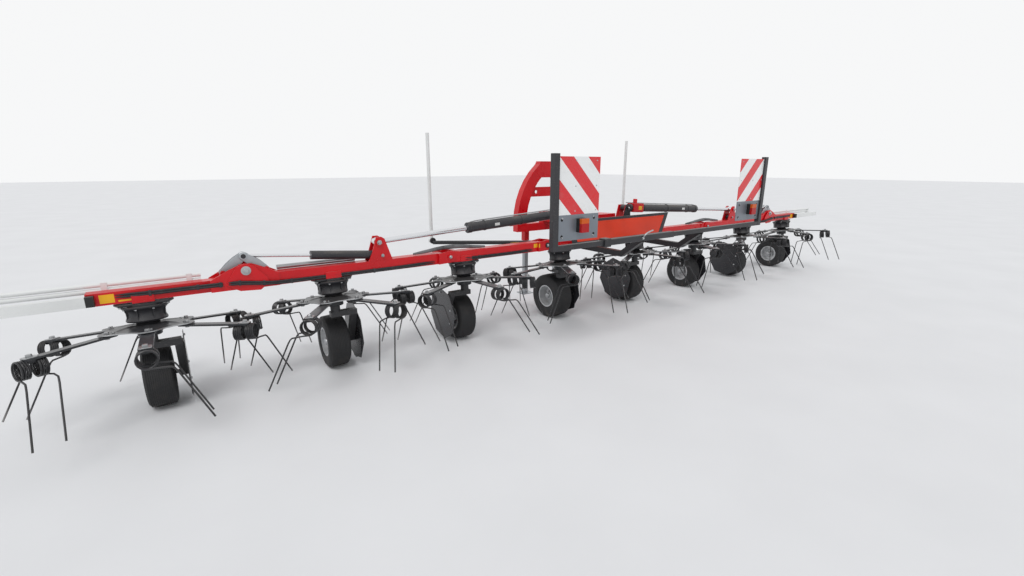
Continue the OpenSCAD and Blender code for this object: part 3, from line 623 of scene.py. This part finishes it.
for i in range(1, 9):
    phase, hand = (0.0, -1.0) if i % 2 == 0 else (math.pi / ARMS, 1.0)
    points, quads, cut = lobed_disc(phase)
    black = [(points, quads[:cut.start] + quads[cut.stop:]), turned(HUB, sides=40, ring=True)]
    bright = [(points, quads[cut])]
    springs = []
    for k in range(ARMS):
        turn = Matrix.Rotation(phase + k * math.tau / ARMS, 4, "Z")
        droop = turn @ Matrix.Translation((ARM_START, 0, -0.008)) @ Matrix.Rotation(ARM_DROOP, 4, "Y")
        end = COIL_RING - ARM_START
        arm = slab(cut_corners(0, end + CLAMP_BACK, ARM_WIDE / 2, 0.012, 0.014), -ARM_THICK, 0)
        foot = box((end - 0.027, -0.021, -ARM_THICK - 0.014), (end + 0.027, 0.021, -ARM_THICK + 0.001))
        clamp = slab(cut_corners(end - 0.031, end + 0.031, 0.029, 0.009, 0.009), 0.0, 0.006)
        black += [moved(solid, droop) for solid in (arm, foot)]
        bright += [moved(solid, droop) for solid in [clamp] + bolt((end, 0, 0.006), size=0.0135)]
        arm_bolts = (bolt((BOLT_RING, 0, -0.001), size=0.0125)
                     + bolt((BOLT_RING, 0, -0.021), (0, 0, -1), 0.0125)
                     + bolt((0.200, 0.018, -0.001), size=0.007))
        bright += [moved(solid, turn) for solid in arm_bolts]
        springs.append(moved(wire(spring_tine(hand), WIRE), turn))
    layers = ((rotor_black, black), (bare_steel, bright), (spring_steel, springs))
    made = make(f"rotor_dressed_{i}", f"rotor_{i}",
                [(material, [moved(solid, at_rotor(i)) for solid in solids]) for material, solids in layers])
    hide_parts(f"rotor_{i}")

# Wheels: small farm tyres with circumferential ribs on silver-grey pressed rims, four nuts and a
# grease cap over the axle's end.
RIM_R = 0.112
HUB_R = 0.036
WHEEL_AHEAD = 0.120
GROOVES = 12
GROOVE_DEEP = 0.003
NUT_RING = 0.050
NUT_TURN = 0.6


def mirrored(profile):
    """The same (radius, along) points on the other side of the wheel."""
    return [(radius, -along) for radius, along in profile]


def tyre_profile(r, h):
    """(radius, along) of the tyre's section: bead, side, tread, side, bead. The tread's crown falls by
    0.006 (x / h)^2 and has GROOVES grooves round it."""
    side = [(RIM_R - 0.004, h - 0.018), (RIM_R + 0.003, h - 0.010), (RIM_R + 0.014, h - 0.004),
            (RIM_R + 0.017, h - 0.0055), (RIM_R + 0.020, h - 0.003), ((r + RIM_R) / 2, h),
            (r - 0.030, h - 0.0015), (r - 0.026, h - 0.0035), (r - 0.022, h - 0.003), (r - 0.008, h - 0.014)]
    tread = []
    for g in np.linspace(-0.74, 0.74, GROOVES):
        x, crown = g * h, r - 0.006 * g ** 2
        tread += [(crown - 0.0002, x - 0.0021), (crown - GROOVE_DEEP, x - 0.0011),
                  (crown - GROOVE_DEEP, x + 0.0011), (crown - 0.0002, x + 0.0021)]
    shoulder = [(r - 0.006 * 0.83 ** 2 - 0.0012, 0.83 * h)]
    bead = [(RIM_R - 0.006, h - 0.02), (RIM_R - 0.006, -h + 0.02)]
    return mirrored(side + shoulder) + tread + shoulder + side[::-1] + bead


tyre_rubber, shader, grow = start_material("tyre_rubber")
place = grow.node("ShaderNodeTexCoord", output="Object")
dirt = grow.node("ShaderNodeTexNoise", inputs={"Vector": place, "Scale": 14.0, "Detail": 9.0})
pores = grow.node("ShaderNodeTexNoise", inputs={"Vector": place, "Scale": 240.0, "Detail": 5.0})
low_down = Place(grow).z.below(0.02, 0.10)
soil = dirt.above(0.5, 0.2) * (low_down * 0.3 + 0.08)
rubber = mixed(pores, rgb(0.010, 0.010, 0.011), rgb(0.022, 0.022, 0.024))
feed(grow, shader, "Base Color", mixed(soil, rubber, rgb(0.17, 0.145, 0.12)))
feed(grow, shader, "Roughness", dirt * 0.25 + 0.55)
feed(grow, shader, "Normal", grow.node("ShaderNodeBump", inputs={
    "Strength": 0.25, "Distance": 0.001, "Height": pores * 0.7 + dirt * 0.3}))
rim_paint = painted("rim_paint", rgb(0.60, 0.61, 0.62), 0.34, 0.12, 0.8, 0.1, 0.35)
for i in range(1, 9):
    r, h = wheel_size(i)
    hub = (rotor_x(i), BEAMS_Y + WHEEL_AHEAD, r)
    out = -LEG_SIDE[i - 1]
    flange = [(RIM_R - 0.010, -h + 0.0105), (RIM_R + 0.007, -h + 0.0105), (RIM_R + 0.009, -h + 0.0125),
              (RIM_R + 0.007, -h + 0.0145), (RIM_R - 0.004, -h + 0.020)]
    well = [(RIM_R - 0.007, -h + 0.04), (RIM_R - 0.016, -h * 0.25)]
    under = [(RIM_R - 0.011, h - 0.04), (RIM_R - 0.020, h * 0.25)]
    barrel = flange + well + mirrored(well[::-1]) + mirrored(flange[::-1]) + under + mirrored(under[::-1])
    dish = [(HUB_R - 0.004, -0.004), (0.058, -0.004), (0.068, 0.004), (RIM_R - 0.019, 0.006),
            (RIM_R - 0.019, 0.011), (0.066, 0.009), (0.056, 0.001), (HUB_R - 0.004, 0.001)]
    half = [(0.0132, -0.050), (HUB_R - 0.004, -0.050), (HUB_R, -0.046), (HUB_R, -0.012),
            (HUB_R + 0.004, -0.008)]
    core = half + mirrored(half[::-1])
    cap = [(0.0145, 0.066), (0.0145, 0.049), (0.030, 0.049), (0.030, 0.060), (0.025, 0.068), (0.012, 0.0715)]
    along = (out, 0, 0)
    tyre = [turned(tyre_profile(r, h), hub, (1, 0, 0), 96, True)]
    metal = [turned(section, hub, along, sides, True)
             for section, sides in ((barrel, 72), (dish, 72), (core, 40))]
    nuts = [turned(cap, hub, along, 28)]
    for k in range(4):
        angle = k * math.pi / 2 + NUT_TURN
        spoke = Vector((out * 0.001, math.cos(angle) * NUT_RING, math.sin(angle) * NUT_RING))
        nuts += bolt(Vector(hub) + spoke, along, 0.0085)
    made = make(f"wheel_dressed_{i}", f"wheel_{i}",
                [(tyre_rubber, tyre), (rim_paint, metal), (bare_steel, nuts)])
    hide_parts(f"wheel_{i}")

# Cast housings: the gearbox castings as they show between beam and disc, waisted, with ribs, a lid
# and its screws, and a broad flange screwed up under the beam, over the frame's plainer housings.
CAST_FINS = 8
FLANGE_Z = (0.7285, 0.7425)
FLANGE_HALF, FLANGE_TIP = 0.125, 0.150
FLANGE_PAST = 0.012
FIN = [(0.080, 0.050), (0.106, 0.050), (0.105, 0.066), (0.106, 0.092), (0.115, 0.118), (0.080, 0.118)]
CAST_OUT = [(0.092, 0.0335), (0.104, 0.036), (0.108, 0.044), (0.104, 0.056), (0.098, 0.070), (0.097, 0.086),
            (0.102, 0.102), (0.112, 0.114), (0.118, 0.118), (0.120, 0.122), (0.120, 0.128), (0.116, 0.131)]
cast_black = painted("cast_black", rgb(0.020, 0.020, 0.023), 0.42, 0.15, 1.6, peel=3.0)
for i, holder in HOLDERS.items():
    place = at_rotor(i)
    solids = [turned(CAST_OUT, sides=48)]
    fin = moved(slab(FIN, -0.003, 0.003, 0.001), Matrix.Rotation(math.pi / 2, 4, "X"))
    screws = []
    for k in range(CAST_FINS):
        turn = Matrix.Rotation((k + 0.5) * math.tau / CAST_FINS, 4, "Z")
        solids.append(moved(fin, turn))
        screws += [moved(solid, turn) for solid in bolt((0.112, 0, 0.1165), (0, 0, -1), 0.0065)]
    solids = [moved(solid, place) for solid in solids]
    screws = [moved(solid, place) for solid in screws]
    beam_half = 0.040 if i in (1, 8) else 0.045
    wide = beam_half + FLANGE_PAST
    x = rotor_x(i)
    solids.append(slab([(x - FLANGE_HALF, BEAMS_Y - wide), (x + FLANGE_HALF, BEAMS_Y - wide),
                        (x + FLANGE_TIP, BEAMS_Y), (x + FLANGE_HALF, BEAMS_Y + wide),
                        (x - FLANGE_HALF, BEAMS_Y + wide), (x - FLANGE_TIP, BEAMS_Y)], *FLANGE_Z, 0.003))
    for side in (-1, 1):
        for way in (-1, 1):
            corner = (x + way * 0.118, BEAMS_Y + side * (beam_half - 0.004), FLANGE_Z[0])
            screws += bolt(corner, (0, 0, -1), 0.010)
    make(f"casting_{i}", holder, [(cast_black, solids), (bare_steel, screws)])

# Crop guards: black eight-cornered sheets outside the wheels' legs, bolted over the narrower plates
# of the legs, that keep the hay off the wheels. Sizes from the photo.
GUARD_R = 0.238
GUARD_RISE = 0.052
GUARD_OUT = 0.0275
GUARD_TURN = 0.22
GUARD_STUDS = ((-0.165, 0.06), (-0.150, -0.06), (0.02, 0.19))
guard_black = painted("guard_black", rgb(0.018, 0.018, 0.021), 0.25, 0.12, 1.7, gloss=0.5)
for i, holder in HOLDERS.items():
    r, h = wheel_size(i)
    out = LEG_SIDE[i - 1]
    x, y, z = rotor_x(i) + out * (h + LEG_GAP + GUARD_OUT), BEAMS_Y + WHEEL_AHEAD, r + GUARD_RISE
    turns = (np.arange(8) + GUARD_TURN) * math.tau / 8
    sheet = slab(GUARD_R * np.stack((np.cos(turns), np.sin(turns)), 1), -0.002, 0.002, 0.001)
    stand = Matrix(((0, 0, out, x + out * 0.001), (out, 0, 0, y), (0, 1, 0, z), (0, 0, 0, 1)))
    studs = []
    for dy, dz in GUARD_STUDS:
        studs += bolt((x + out * 0.003, y + dy, z + dz), (out, 0, 0), 0.0085)
    make(f"crop_guard_{i}", holder, [(guard_black, [moved(sheet, stand)]), (bare_steel, studs)])

# Fold hinges: broad galvanised V links over the outer hinge, with a boss at their top, large red
# plates outside its ears, bright washers with nuts on every pin, and the long tube on the middle beam.
INNER_HINGE = (0.79, 0.80)
MIDDLE_HINGE = (1.85, 0.80)
OUTER_HINGE = (3.375, 0.874)
MAST_PIN = (0.35, 1.10)
TOWER_PIN = (2.45, 0.975)
CYLINDER_PIN = (2.43, 0.872)
PIN_END = 0.075
LINK_X, LINK_DROP, TOP_RISE = 0.130, 0.010, 0.090
LINK_HALVES = (0.020, 0.029, 0.031, 0.025)
EAR_PLATE = [(3.498, 0.786), (3.421, 0.741), (3.300, 0.733), (3.246, 0.774), (3.250, 0.812), (3.330, 0.905),
             (3.375, 0.922), (3.430, 0.902), (3.478, 0.830)]
TUBE_X, TUBE_Y, TUBE_Z, TUBE_R = (2.62, 2.9, 3.17), BEAMS_Y + 0.051, 0.8525, 0.0165


def upright(outline, y, thick, edge=0.0012):
    """A plate standing in the XZ plane: the outline's (x, z), thick across y."""
    return moved(slab(outline, -thick / 2, thick / 2, edge),
                 Matrix.Translation((0, y, 0)) @ Matrix.Rotation(math.pi / 2, 4, "X"))


def strap(foot, top, widths, sides=14):
    """Outline of a tapered bar with round ends: half widths at foot, a third, two thirds and top."""
    foot, top = np.array(foot), np.array(top)
    run = (top - foot) / np.linalg.norm(top - foot)
    across = np.array((-run[1], run[0]))
    t = np.linspace(0, math.pi, sides)[:, None]
    end = top + widths[3] * (np.cos(t) * -across + np.sin(t) * run)
    start = foot + widths[0] * (np.cos(t) * across - np.sin(t) * run)
    left = [foot + (top - foot) * f + across * w for f, w in ((0.66, widths[2]), (0.33, widths[1]))]
    right = [foot + (top - foot) * f - across * w for f, w in ((0.33, widths[1]), (0.66, widths[2]))]
    return np.concatenate((end, left, start, right))


def pin_caps(s, pin, end, size):
    """Washer and nut on both ends of a pin, end away from the beams' middle line."""
    return [solid for k in (-1, 1) for solid in bolt((s * pin[0], BEAMS_Y + k * end, pin[1]), (0, k, 0), size)]


galvanised = painted("galvanised", rgb(0.46, 0.49, 0.51), 0.42, 0.12, 0.75, 0.0, 0.35, peel=2.0)
for side, s in SIDES:
    hinge_x, hinge_z = OUTER_HINGE
    top = (s * hinge_x, hinge_z + TOP_RISE)
    for name, way, y in (("beam_link", -1, 0.026), ("outer_link", 1, 0.018)):
        foot = (s * (hinge_x + way * LINK_X), hinge_z - LINK_DROP)
        shape = strap(foot, top, LINK_HALVES)
        layers = [(galvanised, [upright(shape, BEAMS_Y + k * y, 0.006) for k in (-1, 1)])]
        if name == "beam_link":
            end = (top[0], BEAMS_Y - 0.029, top[1])
            layers[0][1].append(turned([(0.022, 0), (0.022, 0.006), (0.0165, 0.007)], end, (0, -1, 0), 28))
            # The boss's bore is a black stub: painted shade standing in for the dark of the hole.
            bore = turned([(0.0155, 0), (0.0155, 0.0078), (0.008, 0.0078)], end, (0, -1, 0), 28)
            layers.append((black_paint, [bore]))
        made = make(f"{side}_{name}_dressed", f"{side}_{name}", layers)
        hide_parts(f"{side}_{name}")
    plates = [upright([(s * x, z) for x, z in EAR_PLATE], BEAMS_Y + k * 0.0715, 0.006) for k in (-1, 1)]
    washer = [(0.030, 0), (0.030, 0.004), (0.027, 0.005)]
    washers = [turned(washer, (s * hinge_x, BEAMS_Y + k * 0.0745, hinge_z), (0, k, 0), 32) for k in (-1, 1)]
    tube = [wire([(s * x, TUBE_Y, TUBE_Z) for x in TUBE_X], TUBE_R, 20)]
    caps = (pin_caps(s, OUTER_HINGE, 0.0785, 0.0165) + pin_caps(s, TOWER_PIN, 0.055, 0.0165)
            + pin_caps(s, CYLINDER_PIN, 0.053, 0.0115))
    make(f"{side}_hinge_plates", f"{side}_middle", [(red_paint, plates), (bare_steel, washers + caps + tube)])
    make(f"{side}_middle_pin_caps", f"{side}_inner", [(bare_steel, pin_caps(s, MIDDLE_HINGE, PIN_END, 0.0125))])
    caps = pin_caps(s, INNER_HINGE, PIN_END, 0.0125) + pin_caps(s, MAST_PIN, 0.0635, 0.0125)
    make(f"{side}_inner_pin_caps", "frame", [(bare_steel, caps)])

# Hoses: flat black double hoses clipped along the rear faces of the beams, a dark woven sleeve over
# the middle hinge, and on each main barrel a pipe, bands, an end ring, a red end block and blank
# stickers. The courses are read from the photo.
HOSE_Y = BEAMS_Y - 0.052
HOSE_SHIFT = 0.007
HOSE_HALVES = (0.0074, 0.0052)
PIPE_R = 0.0055
BARREL_R = 0.042
BANDS_AT = (0.30, 0.72, 1.12)
END_RING_AT = 1.285


def eased(points, steps=8):
    """Catmull-Rom curve through the points: p(t) = ((2b) + (c - a) t + (2a - 5b + 4c - d) t^2
    + (3b - a - 3c + d) t^3) / 2 between b and c, with a before and d after them."""
    points = np.array(points, float)
    full = np.concatenate((2 * points[:1] - points[1:2], points, 2 * points[-1:] - points[-2:-1]))
    a, b, c, d = (full[k:len(full) - 3 + k, None] for k in range(4))
    t = np.linspace(0, 1, steps, endpoint=False)[:, None]
    run = (2 * b + (c - a) * t + (2 * a - 5 * b + 4 * c - d) * t ** 2 + (3 * b - a - 3 * c + d) * t ** 3) / 2
    return np.concatenate((run.reshape(-1, points.shape[1]), points[-1:]))


hose_black, shader, grow = start_material("hose_black")
place = grow.node("ShaderNodeTexCoord", output="Object")
wrap = grow.node("ShaderNodeTexWave", {"wave_type": "BANDS", "bands_direction": "DIAGONAL"},
                 {"Vector": place, "Scale": 160.0, "Distortion": 0.6})
scuff = grow.node("ShaderNodeTexNoise", inputs={"Vector": place, "Scale": 30.0, "Detail": 8.0})
worn = scuff.above(0.52, 0.25) * 0.5
feed(grow, shader, "Base Color", mixed(worn, rgb(0.016, 0.016, 0.018), rgb(0.07, 0.068, 0.065)))
feed(grow, shader, "Roughness", scuff * 0.3 + 0.4)
feed(grow, shader, "Normal", grow.node("ShaderNodeBump", inputs={
    "Strength": 0.3, "Distance": 0.0008, "Height": wrap}))
sleeve, shader, grow = start_material("sleeve")
place = grow.node("ShaderNodeTexCoord", output="Object")
weave = grow.node("ShaderNodeTexWave", {"wave_type": "BANDS", "bands_direction": "DIAGONAL"},
                  {"Vector": place, "Scale": 110.0, "Distortion": 1.5})
soot = grow.node("ShaderNodeTexNoise", inputs={"Vector": place, "Scale": 11.0, "Detail": 8.0})
feed(grow, shader, "Base Color", mixed(soot.above(0.42, 0.3), rgb(0.16, 0.165, 0.17), rgb(0.035, 0.035, 0.038)))
feed(grow, shader, "Roughness", soot * 0.3 + 0.5)
feed(grow, shader, "Normal", grow.node("ShaderNodeBump", inputs={
    "Strength": 0.5, "Distance": 0.001, "Height": weave}))
sticker_orange = painted("sticker_orange", STICKER, 0.4, 0.15, 0.85)
sticker_white = painted("sticker_white", rgb(0.72, 0.72, 0.70), 0.4, 0.15, 0.85)
for side, s in SIDES:
    runs = {
        "outer": [(4.065, HOSE_Y + 0.006, 0.800), (3.90, HOSE_Y + 0.004, 0.797), (3.72, HOSE_Y + 0.003, 0.797),
                  (3.60, HOSE_Y - 0.012, 0.799), (3.53, HOSE_Y - 0.024, 0.800), (3.515, HOSE_Y - 0.028, 0.800)],
        "middle": [(3.485, HOSE_Y - 0.030, 0.800), (3.42, HOSE_Y - 0.031, 0.798), (3.33, HOSE_Y - 0.031, 0.786),
                   (3.22, HOSE_Y - 0.026, 0.772), (3.10, HOSE_Y - 0.002, 0.764), (2.7, HOSE_Y, 0.762),
                   (2.32, HOSE_Y, 0.762), (1.99, HOSE_Y, 0.768)],
        "inner": [(1.73, HOSE_Y - 0.002, 0.768), (1.55, HOSE_Y, 0.764), (1.2, HOSE_Y, 0.764),
                  (0.96, HOSE_Y, 0.768)]}
    for section, points in runs.items():
        path = eased(points, 6) * (s, 1, 1)
        from_end = np.minimum(np.arange(len(path)), np.arange(len(path))[::-1])
        halves = np.minimum(1, from_end * 0.3 + 0.35)[:, None] * HOSE_HALVES
        hose = [wire(path + (0, 0, dz), halves, 12, (0, 0, 1)) for dz in (-HOSE_SHIFT, HOSE_SHIFT)]
        clip = box((-0.007, -0.0065, -0.017), (0.007, 0.0058, 0.017), 0.001)
        clips = [moved(clip, Matrix.Translation(path[k])) for k in range(6, len(path) - 6, 9)]
        make(f"{side}_{section}_hoses", f"{side}_{section}", [(hose_black, hose), (black_paint, clips)])
    # Course of the sleeve: across, behind the beams' middle line, height
    course = ((2.16, 0.012, 0.848), (2.05, 0.014, 0.858), (1.93, 0.016, 0.872), (1.82, 0.016, 0.876),
              (1.70, 0.014, 0.869), (1.58, 0.012, 0.855), (1.47, 0.010, 0.847))
    path = eased([(s * across, BEAMS_Y - back, z) for across, back, z in course], 8)
    size = np.interp(np.linspace(0, 1, len(path)), (0, 0.12, 0.5, 0.88, 1), (0.008, 0.013, 0.019, 0.013, 0.008))
    bundle = make(f"{side}_hose_sleeve", None, [(sleeve, [wire(path, np.c_[size, size * 0.8], 24, (0, 0, 1))])])
    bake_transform(bundle)
    # Course of the pipe on the main barrel: along it from the mast's pin, above its middle line
    start, end = (np.array((s * x, BEAMS_Y, z)) for x, z in (MAST_PIN, TOWER_PIN))
    run = (end - start) / np.linalg.norm(end - start)
    rise = np.array((-run[2] * s, 0, run[0] * s))
    course = [(0.02, 0.055), (0.12, 0.054), (0.5, 0.052), (1.0, 0.052), (1.2, 0.051), (1.262, 0.046)]
    pipe = wire(eased([start + run * along + rise * above for along, above in course], 6), PIPE_R, 10)
    band = [(BARREL_R, -0.008), (0.0445, -0.008), (0.0455, -0.006), (0.0455, 0.006), (0.0445, 0.008),
            (BARREL_R, 0.008)]
    end_ring = [(BARREL_R, -0.030), (0.0450, -0.030), (0.0465, -0.028), (0.0465, 0.009), (0.0440, 0.013),
                (BARREL_R, 0.013)]
    rings = [turned(band, start + run * along, run, 40, True) for along in BANDS_AT]
    rings.append(turned(end_ring, start + run * END_RING_AT, run, 40, True))
    # Red end block of the barrel with its port, and the blank stickers
    aim = Matrix((run, (0, 1, 0), rise)).transposed().to_4x4()
    aim.translation = Vector(start)
    block = [moved(box((0.100, -0.049, -0.047), (0.262, 0.049, 0.049), 0.005), aim),
             moved(box((0.150, -0.016, 0.048), (0.182, 0.016, 0.098), 0.004), aim)]
    orange = [moved(box((0.180, -0.0502, -0.020), (0.235, -0.0486, 0.022), 0.0003), aim)]
    white = [moved(box((0.980, -0.0436, -0.012), (1.030, -0.0410, 0.012), 0.0003), aim)]
    make(f"{side}_main_pipe", f"{side}_main_barrel", [
        (bare_steel, [pipe]), (black_paint, rings), (red_paint, block), (sticker_orange, orange),
        (sticker_white, white)])

# Board fittings: the rivets of the boards and the screws of the lamp plates, and the outer tube of
# the telescopic carrier with its clamp block and lever, all on the board carrier of the frame.
SHEETS_REAR = BEAMS_Y - 0.924
CARRIER_Z = 0.945
LEVER_X = -0.46
RIVET = [(0.006, 0), (0.005, 0.0015), (0.002, 0.0024)]
bright = []
for _, s in SIDES:
    for x in (1.400, 1.235, 1.020):
        for z in (1.215, 1.40, 1.585):
            bright.append(turned(RIVET, (s * x, SHEETS_REAR, z), (0, -1, 0), 12))
    for x in (1.36, 1.04):
        for z in (1.02, 1.165):
            bright += bolt((s * x, SHEETS_REAR, z), (0, -1, 0), 0.006)
outer_tube = box((-0.85, BOARDS_Y - 0.0255, CARRIER_Z - 0.0255), (-0.03, BOARDS_Y + 0.0255, CARRIER_Z + 0.0255),
                 0.004)
clamp_block = box((-0.925, BOARDS_Y - 0.034, CARRIER_Z - 0.035), (-0.855, BOARDS_Y + 0.034, CARRIER_Z + 0.035),
                  0.005)
lever = eased([(LEVER_X, BOARDS_Y - 0.030, 0.955), (LEVER_X, BOARDS_Y - 0.046, 0.975),
               (-0.43, BOARDS_Y - 0.052, 0.995), (-0.37, BOARDS_Y - 0.054, 1.010)], 8)
bright += [wire(lever, 0.006, 12)] + bolt((LEVER_X, BOARDS_Y - 0.0255, CARRIER_Z), (0, -1, 0), 0.011)
make("board_fittings", "frame", [(bare_steel, bright), (black_paint, [outer_tube, clamp_block])])
